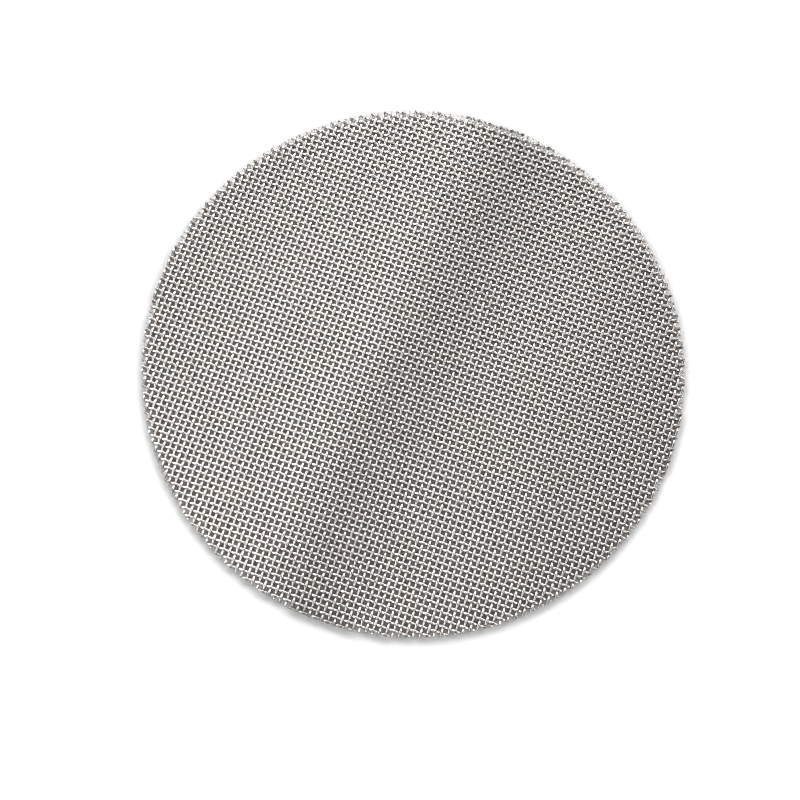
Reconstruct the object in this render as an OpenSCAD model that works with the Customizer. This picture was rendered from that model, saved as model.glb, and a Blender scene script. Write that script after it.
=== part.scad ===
// Wire mesh filter disc: a round blank cut from square, plain-weave wire cloth, with bare cut ends all round.
// A plain grid with the cloth's own share of open area stands for its openings, and its bars carry the wires.
// The origin is at the middle of the disc, on the surface that it lies on. X runs across the warp wires.

/* [Disc] */
// Diameter across the cut rim
disc_d = 75; // [40:1:120]
// Width of the closed wall inside the rim
rim_w = 0.8; // [0.4:0.1:2]
// How far the cut ends of the wires stay inside the rim
rim_land = 0.05; // [0.02:0.01:0.3]

/* [Wire cloth] */
// Diameter of the wire, the same both ways
wire_d = 0.33; // [0.2:0.01:0.5]
// Clear width of the square openings between the wires
opening_w = 0.516; // [0.35:0.002:2]

/* [Wall and gaps] */
// Thickness of the wall in the plane where the two layers of wire meet
wall_t = 0.22; // [0.1:0.01:0.3]
// Wires of the cloth from one bar of the grid to the next
gap_step = 7; // [7:1:15]

/* [Hidden] */

// How far a cutter runs past the face that it cuts
cut_over = 0.02;
rim_fn = 180;
wire_fn = 48;

disc_r = disc_d / 2;
wire_r = wire_d / 2;
pitch = wire_d + opening_w;
cloth_t = 2 * wire_d;

// The two layers meet in the middle of the cloth: the warp lies above it and the weft below it
meet_z = cloth_t / 2;
warp_z = meet_z + wire_r;
weft_z = meet_z - wire_r;
wall_z = meet_z - wall_t / 2;

// A gap is as wide as the openings that it stands for, and a bar as wide as their wires
gap_pitch = gap_step * pitch;
gap_w = gap_step * opening_w;
bar_w = gap_step * wire_d;
gap_reach = disc_r - rim_w;
gap_out = floor(disc_r / gap_pitch);
gap_at = [for (i = [-gap_out - 1 : gap_out]) (i + 0.5) * gap_pitch];

// Wires on either side of the middle one, down to a shortest wire of two pitches
cut_r = disc_r - rim_land;
wires_out = floor((sqrt(cut_r * cut_r - pitch * pitch) - wire_r) / pitch);

// The wires that a bar carries, on either side of its own middle one
bar_out = floor((bar_w - wire_d) / 2 / pitch);
function on_bar(i) = abs(i - gap_step * round(i / gap_step)) <= bar_out;
wire_at = [for (i = [-wires_out : wires_out]) if (on_bar(i)) i * pitch];

// Half the length of the wire at one place across the disc, with its outer corner on the cut
function half_run(at) = sqrt(cut_r * cut_r - pow(abs(at) + wire_r, 2));

// Layer of straight wires along Y, each as long as the disc is there
module wire_layer(z) {
    for (at = wire_at)
        translate([at, 0, z])
            rotate([90, 0, 0])
                cylinder(d = wire_d, h = 2 * half_run(at), center = true, $fn = wire_fn);
}

// Wall that both layers are sunk in
module wall() {
    translate([0, 0, wall_z]) cylinder(d = disc_d, h = wall_t, $fn = rim_fn);
}

// Gaps through the wall, round where they meet the closed rim
module gaps() {
    translate([0, 0, wall_z - cut_over])
        linear_extrude(height = wall_t + 2 * cut_over)
            intersection() {
                for (x = gap_at, y = gap_at)
                    if (norm([x, y]) < gap_reach)
                        translate([x, y]) square(gap_w, center = true);
                circle(r = gap_reach, $fn = rim_fn);
            }
}

module mesh_disc() {
    color("silver") {
        difference() {
            wall();
            gaps();
        }
        wire_layer(warp_z);
        rotate([0, 0, 90]) wire_layer(weft_z);
    }
}

mesh_disc();
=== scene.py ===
# Wire mesh filter disc: crimped warp and weft wires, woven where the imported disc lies, on a pale table
import math

import bpy
from mathutils import Matrix, Vector


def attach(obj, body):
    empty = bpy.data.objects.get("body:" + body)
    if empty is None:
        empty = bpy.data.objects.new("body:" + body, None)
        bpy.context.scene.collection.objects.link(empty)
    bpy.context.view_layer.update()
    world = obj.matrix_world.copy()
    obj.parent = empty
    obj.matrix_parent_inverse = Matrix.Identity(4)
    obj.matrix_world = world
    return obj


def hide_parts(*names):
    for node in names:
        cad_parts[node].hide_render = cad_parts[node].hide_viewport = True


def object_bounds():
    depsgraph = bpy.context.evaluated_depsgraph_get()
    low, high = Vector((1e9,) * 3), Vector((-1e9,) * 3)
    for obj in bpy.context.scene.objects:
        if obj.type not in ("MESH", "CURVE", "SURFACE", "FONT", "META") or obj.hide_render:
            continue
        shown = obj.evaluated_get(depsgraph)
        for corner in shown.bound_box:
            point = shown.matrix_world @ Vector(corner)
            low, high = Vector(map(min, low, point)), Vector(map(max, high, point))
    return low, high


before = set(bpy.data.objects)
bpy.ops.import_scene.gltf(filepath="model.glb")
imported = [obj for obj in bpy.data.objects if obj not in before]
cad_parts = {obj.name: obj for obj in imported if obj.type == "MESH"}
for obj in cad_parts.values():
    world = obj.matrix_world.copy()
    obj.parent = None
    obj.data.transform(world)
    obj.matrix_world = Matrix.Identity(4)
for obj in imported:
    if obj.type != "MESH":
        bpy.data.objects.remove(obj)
cadLow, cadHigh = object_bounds()
scene = bpy.context.scene
mm = 0.001

# sizes that every piece of the cloth shares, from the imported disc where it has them
cloth = {
    "discRadius": (cadHigh.x - cadLow.x) / 2,
    "wireDiameter": (cadHigh.z - cadLow.z) / 2,  # the cloth is two wires thick
    "pitch": 0.846 * mm,
    "ringsPerPitch": 4,
    "wireSides": 8,
}
print("cloth: radius %.2f mm, wire %.3f mm" % (cloth["discRadius"] / mm, cloth["wireDiameter"] / mm))


# node tree helpers
def feed(tree, value, socket):
    # a socket or node is linked, and anything else is the socket's own value
    if isinstance(value, bpy.types.NodeSocket):
        tree.links.new(value, socket)
    elif isinstance(value, bpy.types.Node):
        tree.links.new(value.outputs[0], socket)
    else:
        socket.default_value = value


def addNode(tree, kind, values=None, **settings):
    made = tree.nodes.new(kind)
    for name, value in settings.items():
        setattr(made, name, value)
    for key, value in (values or {}).items():
        feed(tree, value, made.inputs[key])
    return made


def addSockets(tree, inOut, sockets):
    for name, kind in sockets:
        tree.interface.new_socket(name=name, in_out=inOut, socket_type="NodeSocket" + kind)


def calc(tree, operation, *values):
    made = tree.nodes.new("ShaderNodeMath")
    made.operation = operation
    for socket, value in zip(made.inputs, values):
        feed(tree, value, socket)
    return made.outputs[0]


def fromMiddle(tree, x, y):
    # distance of a place from the disc's middle
    squares = [calc(tree, "POWER", part, 2.0) for part in (x, y)]
    return calc(tree, "SQRT", calc(tree, "ADD", *squares))


def splitPosition(tree):
    here = addNode(tree, "GeometryNodeInputPosition")
    return addNode(tree, "ShaderNodeSeparateXYZ", {"Vector": here}).outputs


def either(tree, choice, whenFalse, whenTrue):
    values = {"Switch": choice, "False": whenFalse, "True": whenTrue}
    return addNode(tree, "GeometryNodeSwitch", values, input_type="FLOAT").outputs[0]


# slight wander of every wire from its own line
wander = {"perMetre": 60.0, "seedStep": 7.3, "noiseScale": 1.0, "noiseDetail": 1.0, "reach": 0.015 * mm}

# slight bow of the whole cloth from its roll, highest along a ridge beside the middle
bow = {"ridge": 4.0 * mm, "lift": 0.08 * mm}


# Geometry Nodes tree for one band of parallel wires
def makeWireTree():
    tree = bpy.data.node_groups.new("woven wires", "GeometryNodeTree")
    tree.is_modifier = True
    addSockets(tree, "INPUT", (
        ("Wire Diameter", "Float"),
        ("Pitch", "Float"),
        ("Disc Radius", "Float"),
        ("First Wire", "Int"),
        ("Wire Count", "Int"),
        ("Rings per Pitch", "Int"),
        ("Wire Sides", "Int"),
        ("Runs along X", "Bool"),
        ("Crimp", "Float"),
        ("Wander", "Float"),
        ("Ridge", "Float"),
        ("Lift", "Float"),
        ("Seed", "Int"),
        ("Steel", "Material"),
    ))
    addSockets(tree, "OUTPUT", (("Geometry", "Geometry"),))
    given = tree.nodes.new("NodeGroupInput").outputs

    # one point for each wire, a pitch apart
    number = calc(tree, "ADD", given["First Wire"], addNode(tree, "GeometryNodeInputIndex"))
    rowPlace = addNode(tree, "ShaderNodeCombineXYZ", {"X": calc(tree, "MULTIPLY", number, given["Pitch"])})
    row = addNode(tree, "GeometryNodePoints", {"Count": given["Wire Count"], "Position": rowPlace})

    # straight wire with its rings in step with the crossings, longer than the disc
    ringGap = calc(tree, "DIVIDE", given["Pitch"], given["Rings per Pitch"])
    reach = calc(tree, "CEIL", calc(tree, "DIVIDE", given["Disc Radius"], given["Pitch"]))
    ringReach = calc(tree, "MULTIPLY", reach, given["Rings per Pitch"])
    lineStart = calc(tree, "MULTIPLY", calc(tree, "MULTIPLY", ringReach, ringGap), -1.0)
    line = addNode(tree, "GeometryNodeMeshLine", {
        "Count": calc(tree, "MULTIPLY_ADD", ringReach, 2.0, 1.0),
        "Start Location": addNode(tree, "ShaderNodeCombineXYZ", {"Y": lineStart}),
        "Offset": addNode(tree, "ShaderNodeCombineXYZ", {"Y": ringGap}),
    })
    blank = addNode(tree, "GeometryNodeMeshToCurve", {"Mesh": line})
    wires = addNode(tree, "GeometryNodeInstanceOnPoints", {"Points": row, "Instance": blank})
    wires = addNode(tree, "GeometryNodeRealizeInstances", {"Geometry": wires})

    # cut to the rim: rings outside go, and the last ring moves out to the cut
    place = splitPosition(tree)
    across = place["X"]
    along = place["Y"]
    radiusSquared = calc(tree, "POWER", given["Disc Radius"], 2.0)
    acrossSquared = calc(tree, "POWER", across, 2.0)
    halfChord = calc(tree, "SQRT", calc(tree, "SUBTRACT", radiusSquared, acrossSquared))
    outside = calc(tree, "GREATER_THAN", calc(tree, "ABSOLUTE", along), halfChord)
    wires = addNode(tree, "GeometryNodeDeleteGeometry", {
        "Geometry": wires,
        "Selection": outside,
    }, domain="POINT")
    cutEnd = addNode(tree, "ShaderNodeCombineXYZ", {
        "X": across,
        "Y": calc(tree, "MULTIPLY", calc(tree, "SIGN", along), halfChord),
    })
    wires = addNode(tree, "GeometryNodeSetPosition", {
        "Geometry": wires,
        "Selection": addNode(tree, "GeometryNodeCurveEndpointSelection"),
        "Position": cutEnd,
    })

    # each wire keeps a tone of its own
    wireNumber = calc(tree, "ROUND", calc(tree, "DIVIDE", across, given["Pitch"]))
    tone = addNode(tree, "FunctionNodeRandomValue", {
        "ID": wireNumber,
        "Seed": given["Seed"],
    }, data_type="FLOAT")
    wires = addNode(tree, "GeometryNodeStoreNamedAttribute", {
        "Geometry": wires,
        "Name": "wireTone",
        "Value": tone.outputs[1],  # the float one
    }, data_type="FLOAT", domain="CURVE")

    # over one crossing and under the next, opposite in the two directions
    waves = []
    for spot in (across, along):
        turns = calc(tree, "DIVIDE", spot, given["Pitch"])
        waves.append(calc(tree, "COSINE", calc(tree, "MULTIPLY", turns, math.pi)))
    flip = calc(tree, "MULTIPLY_ADD", given["Runs along X"], -2.0, 1.0)
    depth = calc(tree, "MULTIPLY", flip, given["Crimp"])
    crimp = calc(tree, "MULTIPLY", calc(tree, "MULTIPLY", *waves), depth)

    # wander off the line
    wanderSpot = addNode(tree, "ShaderNodeCombineXYZ", {
        "X": wireNumber,
        "Y": calc(tree, "MULTIPLY", along, wander["perMetre"]),
        "Z": calc(tree, "MULTIPLY", given["Seed"], wander["seedStep"]),
    })
    wanderNoise = addNode(tree, "ShaderNodeTexNoise", {
        "Vector": wanderSpot,
        "Scale": wander["noiseScale"],
        "Detail": wander["noiseDetail"],
    })
    offLine = calc(tree, "SUBTRACT", wanderNoise.outputs["Fac"], 0.5)
    drift = calc(tree, "MULTIPLY", offLine, given["Wander"])
    acrossNow = calc(tree, "ADD", across, drift)

    # the weft is turned to run along X, and both directions take the same bow
    worldX = either(tree, given["Runs along X"], acrossNow, along)
    worldY = either(tree, given["Runs along X"], along, acrossNow)
    fromRidge = calc(tree, "DIVIDE", calc(tree, "SUBTRACT", worldX, given["Ridge"]), given["Disc Radius"])
    crown = calc(tree, "SUBTRACT", 1.0, calc(tree, "POWER", calc(tree, "ABSOLUTE", fromRidge), 2.0))
    lift = calc(tree, "MULTIPLY", calc(tree, "MAXIMUM", crown, 0.0), given["Lift"])
    height = calc(tree, "ADD", calc(tree, "ADD", given["Wire Diameter"], crimp), lift)
    wires = addNode(tree, "GeometryNodeSetPosition", {
        "Geometry": wires,
        "Position": addNode(tree, "ShaderNodeCombineXYZ", {"X": worldX, "Y": worldY, "Z": height}),
    })

    # round wire with closed ends, trimmed flush with the rim
    section = addNode(tree, "GeometryNodeCurvePrimitiveCircle", {
        "Resolution": given["Wire Sides"],
        "Radius": calc(tree, "MULTIPLY", given["Wire Diameter"], 0.5),
    })
    tubes = addNode(tree, "GeometryNodeCurveToMesh", {
        "Curve": addNode(tree, "GeometryNodeSetCurveNormal", {"Curve": wires}, mode="Z_UP"),
        "Profile Curve": section,
        "Fill Caps": True,
    })
    point = splitPosition(tree)
    radius = fromMiddle(tree, point["X"], point["Y"])
    trim = calc(tree, "MINIMUM", calc(tree, "DIVIDE", given["Disc Radius"], radius), 1.0)
    tubes = addNode(tree, "GeometryNodeSetPosition", {
        "Geometry": tubes,
        "Position": addNode(tree, "ShaderNodeCombineXYZ", {
            "X": calc(tree, "MULTIPLY", point["X"], trim),
            "Y": calc(tree, "MULTIPLY", point["Y"], trim),
            "Z": point["Z"],
        }),
    })
    tubes = addNode(tree, "GeometryNodeSetShadeSmooth", {"Geometry": tubes})
    tubes = addNode(tree, "GeometryNodeRealizeInstances", {"Geometry": tubes})
    tubes = addNode(tree, "GeometryNodeSetMaterial", {"Geometry": tubes, "Material": given["Steel"]})
    addNode(tree, "NodeGroupOutput", {"Geometry": tubes})
    return tree


# drawn steel wire: the three shares say how far each mark moves it from dark to bright
steel = {
    "dark": (0.465, 0.445, 0.43, 1.0),
    "bright": (0.616, 0.589, 0.571, 1.0),
    "dieLineScale": 1.0,
    "dieLineDetail": 3.0,
    "dieLineShare": 0.5,
    "patchScale": 0.12,
    "patchDetail": 2.0,
    "patchShare": 0.3,
    "wireShare": 0.2,
    "roughnessSpread": 0.08,
    "bumpStrength": 0.25,
    "bumpDepth": 0.004 * mm,
    "warpRoughness": 0.22,
    "weftRoughness": 0.22,
    "finestMark": 12000.0,  # marks per metre round the wire
    "markStretch": 20.0,  # marks run this much longer along the wire
}

# painted sheen and shade: broad soft lighter and darker bands along the warp, laid into the wires' colour
paintedBands = {
    "halfWidth": 40.0 * mm,
    "lean": 0.1,
    "depth": 0.36,
    "stops": ((-36.0, 0.8), (-24.0, 1.0), (-9.0, 1.0), (1.0, 0.18), (13.0, 0.58), (34.0, 0.15)),  # mm, level
}

# painted shade: the wires darken over the last stretch to the rim
paintedRimShade = {"width": 0.8 * mm, "level": 0.55}


# drawn steel marks, with the painted sheen and shade bands and painted rim shade, shared by both directions
# of wire
def makeDrawnMarksAndPaintedShade():
    group = bpy.data.node_groups.new("drawn wire marks and painted shade", "ShaderNodeTree")
    addSockets(group, "INPUT", (
        ("Along", "Vector"),
        ("Place", "Vector"),
        ("Tone", "Float"),
        ("Dark", "Color"),
        ("Bright", "Color"),
        ("Roughness", "Float"),
    ))
    addSockets(group, "OUTPUT", (("Color", "Color"), ("Roughness", "Float"), ("Height", "Float")))
    given = group.nodes.new("NodeGroupInput").outputs
    dieLines = addNode(group, "ShaderNodeTexNoise", {
        "Vector": given["Along"],
        "Scale": steel["dieLineScale"],
        "Detail": steel["dieLineDetail"],
    }).outputs["Fac"]
    patches = addNode(group, "ShaderNodeTexNoise", {
        "Vector": given["Along"],
        "Scale": steel["patchScale"],
        "Detail": steel["patchDetail"],
    }).outputs["Fac"]
    blend = calc(group, "MULTIPLY", given["Tone"], steel["wireShare"])
    blend = calc(group, "MULTIPLY_ADD", patches, steel["patchShare"], blend)
    blend = calc(group, "MULTIPLY_ADD", dieLines, steel["dieLineShare"], blend)
    mixed = {0: blend, 6: given["Dark"], 7: given["Bright"]}  # the factor and the two colours
    shade = addNode(group, "ShaderNodeMix", mixed, data_type="RGBA").outputs[2]

    # painted sheen and shade: lighter and darker bands along the warp
    place = addNode(group, "ShaderNodeSeparateXYZ", {"Vector": given["Place"]}).outputs
    across = calc(group, "MULTIPLY_ADD", place["Y"], -paintedBands["lean"], place["X"])
    spot = addNode(group, "ShaderNodeMapRange", {
        "Value": across,
        "From Min": -paintedBands["halfWidth"],
        "From Max": paintedBands["halfWidth"],
    })
    ramp = addNode(group, "ShaderNodeValToRGB", {"Fac": spot})
    ramp.color_ramp.interpolation = "EASE"
    while len(ramp.color_ramp.elements) < len(paintedBands["stops"]):
        ramp.color_ramp.elements.new(1.0)
    for element, (x, level) in zip(ramp.color_ramp.elements, paintedBands["stops"]):
        element.position = 0.5 + x * mm / paintedBands["halfWidth"] / 2
        element.color = (level, level, level, 1.0)
    # how far the painted sheen and shade bands lighten or darken the colour
    paintedSheenAndShade = calc(group, "MULTIPLY_ADD", calc(group, "SUBTRACT", ramp, 0.5), paintedBands["depth"], 1.0)

    # painted shade along the rim
    rimShade = addNode(group, "ShaderNodeMapRange", {
        "Value": fromMiddle(group, place["X"], place["Y"]),
        "From Min": cloth["discRadius"] - paintedRimShade["width"],
        "From Max": cloth["discRadius"],
        "To Min": 1.0,
        "To Max": paintedRimShade["level"],
    })
    # the colour takes the painted sheen and shade bands and the painted rim shade
    shade = addNode(group, "ShaderNodeHueSaturation", {
        "Color": shade,
        "Value": calc(group, "MULTIPLY", paintedSheenAndShade, rimShade),
    })
    marks = calc(group, "SUBTRACT", dieLines, 0.5)
    rough = calc(group, "MULTIPLY_ADD", marks, steel["roughnessSpread"], given["Roughness"])
    addNode(group, "NodeGroupOutput", {"Color": shade, "Roughness": rough, "Height": dieLines})
    return group


def makeSteel(name, marksAndShade, stretch, roughness):
    material = bpy.data.materials.new(name)
    material.use_nodes = True
    tree = material.node_tree
    tree.nodes.clear()
    place = addNode(tree, "ShaderNodeTexCoord").outputs["Object"]
    tone = addNode(tree, "ShaderNodeAttribute", attribute_name="wireTone")
    marksAndShadeNode = addNode(tree, "ShaderNodeGroup", {
        "Along": addNode(tree, "ShaderNodeMapping", {"Vector": place, "Scale": stretch}),
        "Place": place,
        "Tone": tone.outputs["Fac"],
        "Dark": steel["dark"],
        "Bright": steel["bright"],
        "Roughness": roughness,
    }, node_tree=marksAndShade)
    bump = addNode(tree, "ShaderNodeBump", {
        "Strength": steel["bumpStrength"],
        "Distance": steel["bumpDepth"],
        "Height": marksAndShadeNode.outputs["Height"],
    })
    surface = addNode(tree, "ShaderNodeBsdfPrincipled", {
        "Base Color": marksAndShadeNode.outputs["Color"],
        "Metallic": 1.0,
        "Roughness": marksAndShadeNode.outputs["Roughness"],
        "Normal": bump,
    })
    addNode(tree, "ShaderNodeOutputMaterial", {"Surface": surface})
    print("%s: roughness %.2f" % (name, roughness))
    return material


wireTree = makeWireTree()
# the group gives the wires' marks and also paints the sheen and shade bands and the rim shade
marksAndShade = makeDrawnMarksAndPaintedShade()
fineMarks = steel["finestMark"]
longMarks = fineMarks / steel["markStretch"]
warpSteel = makeSteel("warp steel", marksAndShade, (fineMarks, longMarks, fineMarks), steel["warpRoughness"])
weftSteel = makeSteel("weft steel", marksAndShade, (longMarks, fineMarks, fineMarks), steel["weftRoughness"])

# every third of the wires is a piece of its own
bands = {"perDirection": 3}
directions = (
    {"name": "warp", "alongX": False, "steel": warpSteel, "seed": 3},
    {"name": "weft", "alongX": True, "steel": weftSteel, "seed": 11},
)


def weaveBand(direction, band, firstWire, wireCount):
    name = "%s_wires_%d" % (direction["name"], band + 1)
    piece = bpy.data.objects.new(name, bpy.data.meshes.new(name))
    scene.collection.objects.link(piece)
    modifier = piece.modifiers.new("woven wires", "NODES")
    modifier.node_group = wireTree
    sizes = {
        "Wire Diameter": cloth["wireDiameter"],
        "Pitch": cloth["pitch"],
        "Disc Radius": cloth["discRadius"],
        "First Wire": firstWire,
        "Wire Count": wireCount,
        "Rings per Pitch": cloth["ringsPerPitch"],
        "Wire Sides": cloth["wireSides"],
        "Runs along X": direction["alongX"],
        "Crimp": cloth["wireDiameter"] / 2,
        "Wander": wander["reach"],
        "Ridge": bow["ridge"],
        "Lift": bow["lift"],
        "Seed": direction["seed"],
        "Steel": direction["steel"],
    }
    for item in wireTree.interface.items_tree:
        if item.in_out == "INPUT":
            modifier[item.identifier] = sizes[item.name]
    bpy.context.view_layer.update()
    seen = piece.evaluated_get(bpy.context.evaluated_depsgraph_get())
    woven = bpy.data.meshes.new_from_object(seen)
    piece.modifiers.remove(modifier)
    piece.data = woven
    woven.name = name
    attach(piece, "root")
    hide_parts("mesh_disc")
    triangles = sum(len(face.vertices) - 2 for face in woven.polygons)
    print("%s: %d wires, %d triangles" % (name, wireCount, triangles))


wiresOut = int((cloth["discRadius"] - cloth["wireDiameter"] / 2) / cloth["pitch"])
wireTotal = 2 * wiresOut + 1
for direction in directions:
    for band in range(bands["perDirection"]):
        first = round(wireTotal * band / bands["perDirection"])
        last = round(wireTotal * (band + 1) / bands["perDirection"])
        weaveBand(direction, band, first - wiresOut, last - first)

# pale table, which the studio light turns white
table = {
    "halfSide": 2.0,
    "colour": (0.64, 0.64, 0.64, 1.0),
    "spread": 0.02,
    "grainScale": 40.0,
    "roughness": 0.6,
}


def layTable():
    half = table["halfSide"]
    corners = [(-half, -half, 0), (half, -half, 0), (half, half, 0), (-half, half, 0)]
    mesh = bpy.data.meshes.new("table")
    mesh.from_pydata(corners, [], [(0, 1, 2, 3)])
    material = bpy.data.materials.new("pale table")
    material.use_nodes = True
    tree = material.node_tree
    tree.nodes.clear()
    place = addNode(tree, "ShaderNodeTexCoord").outputs["Object"]
    grain = addNode(tree, "ShaderNodeTexNoise", {
        "Vector": place,
        "Scale": table["grainScale"],
    }).outputs["Fac"]
    lowest = 1.0 - table["spread"] / 2
    shade = addNode(tree, "ShaderNodeHueSaturation", {
        "Color": table["colour"],
        "Value": calc(tree, "MULTIPLY_ADD", grain, table["spread"], lowest),
    })
    surface = addNode(tree, "ShaderNodeBsdfPrincipled", {
        "Base Color": shade,
        "Roughness": table["roughness"],
    })
    addNode(tree, "ShaderNodeOutputMaterial", {"Surface": surface})
    mesh.materials.append(material)
    floor = bpy.data.objects.new("table", mesh)
    scene.collection.objects.link(floor)
    print("table: %.1f m square" % (2 * half))


layTable()

# camera at the photograph's angle, in degrees, with its lens and sensor in mm
shot = {
    "azimuth": 15.95,
    "elevation": 77.79,
    "roll": 3.08,
    "distance": 116.2 * mm,
    "aim": (0.16 * mm, -6.41 * mm, 0.33 * mm),
    "lens": 38.2,
    "sensor": 36.0,
    "nearest": 0.001,
    "farthest": 20.0,
}


def pointing(azimuth, elevation):
    # the way from the table's middle to a camera or a lamp
    turn = math.radians(azimuth)
    rise = math.radians(elevation)
    return Vector((math.sin(turn) * math.cos(rise), -math.cos(turn) * math.cos(rise), math.sin(rise)))


def setCamera():
    data = bpy.data.cameras.new("camera")
    data.lens = shot["lens"]
    data.sensor_width = shot["sensor"]
    data.clip_start = shot["nearest"]
    data.clip_end = shot["farthest"]
    camera = bpy.data.objects.new("camera", data)
    scene.collection.objects.link(camera)
    back = pointing(shot["azimuth"], shot["elevation"])
    roll = Matrix.Rotation(math.radians(shot["roll"]), 3, "Z")
    turn = (-back).to_track_quat("-Z", "Y").to_matrix() @ roll
    stand = Vector(shot["aim"]) + back * shot["distance"]
    camera.matrix_world = Matrix.LocRotScale(stand, turn.to_quaternion(), None)
    scene.camera = camera
    print("camera: %.1f mm lens, %.1f mm from the cloth" % (shot["lens"], shot["distance"] / mm))


setCamera()

# soft key lamp, its angles taken as the camera's are
keyLamp = {"azimuth": 200.0, "elevation": 24.0, "distance": 0.8, "size": 0.6, "power": 2.0}


def hangKeyLamp():
    data = bpy.data.lights.new("key", "AREA")
    data.shape = "DISK"
    data.size = keyLamp["size"]
    data.energy = keyLamp["power"]
    light = bpy.data.objects.new("key", data)
    back = pointing(keyLamp["azimuth"], keyLamp["elevation"])
    light.location = back * keyLamp["distance"]
    light.rotation_euler = (-back).to_track_quat("-Z", "Y").to_euler()
    scene.collection.objects.link(light)
    print("key lamp: %.1f W" % keyLamp["power"])


hangKeyLamp()

# low bright walls under a dark ceiling, from their foot to their top in degrees
walls = {
    "strength": 10.7,
    "foot": 18.0,
    "top": 30.0,
    "fade": 5.0,
    "brightSide": 200.0,
    "falloff": 0.4,  # below 1 the walls stay bright further round from their bright side
    "backdrop": 1.0,
    "colour": (1.0, 1.0, 1.0, 1.0),
}


def sineOf(degrees):
    return math.sin(math.radians(degrees))


def lightWalls():
    world = bpy.data.worlds.new("studio")
    scene.world = world
    world.use_nodes = True
    tree = world.node_tree
    toward = addNode(tree, "ShaderNodeTexCoord").outputs["Generated"]
    rise = addNode(tree, "ShaderNodeSeparateXYZ", {"Vector": toward}).outputs["Z"]
    below = addNode(tree, "ShaderNodeMapRange", {
        "Value": rise,
        "From Min": sineOf(walls["foot"] - walls["fade"]),
        "From Max": sineOf(walls["foot"]),
    })
    above = addNode(tree, "ShaderNodeMapRange", {
        "Value": rise,
        "From Min": sineOf(walls["top"]),
        "From Max": sineOf(walls["top"] + walls["fade"]),
        "To Min": 1.0,
        "To Max": 0.0,
    })
    height = calc(tree, "MULTIPLY", below, above)

    # brightest on one side and dark opposite it
    facing = addNode(tree, "ShaderNodeVectorMath", {
        0: toward,
        1: pointing(walls["brightSide"], 0.0),
    }, operation="DOT_PRODUCT").outputs["Value"]
    turned = addNode(tree, "ShaderNodeMapRange", {"Value": facing, "From Min": -1.0, "From Max": 1.0})
    side = calc(tree, "POWER", turned, walls["falloff"])
    glow = calc(tree, "MULTIPLY", calc(tree, "MULTIPLY", height, side), walls["strength"])

    # the camera itself sees a plain white backdrop behind the table
    seen = addNode(tree, "ShaderNodeLightPath").outputs["Is Camera Ray"]
    choice = {0: seen, 2: glow, 3: walls["backdrop"]}  # the factor and the two values
    glow = addNode(tree, "ShaderNodeMix", choice, data_type="FLOAT").outputs[0]
    backdrop = tree.nodes["Background"]
    feed(tree, walls["colour"], backdrop.inputs["Color"])
    feed(tree, glow, backdrop.inputs["Strength"])
    print("walls: %.0f to %.0f degrees" % (walls["foot"], walls["top"]))


lightWalls()

# a gamma under 1 deepens the openings
look = {"transform": "Standard", "gamma": 0.8}
scene.view_settings.view_transform = look["transform"]
scene.view_settings.gamma = look["gamma"]
print("look: %s, gamma %.2f" % (look["transform"], look["gamma"]))
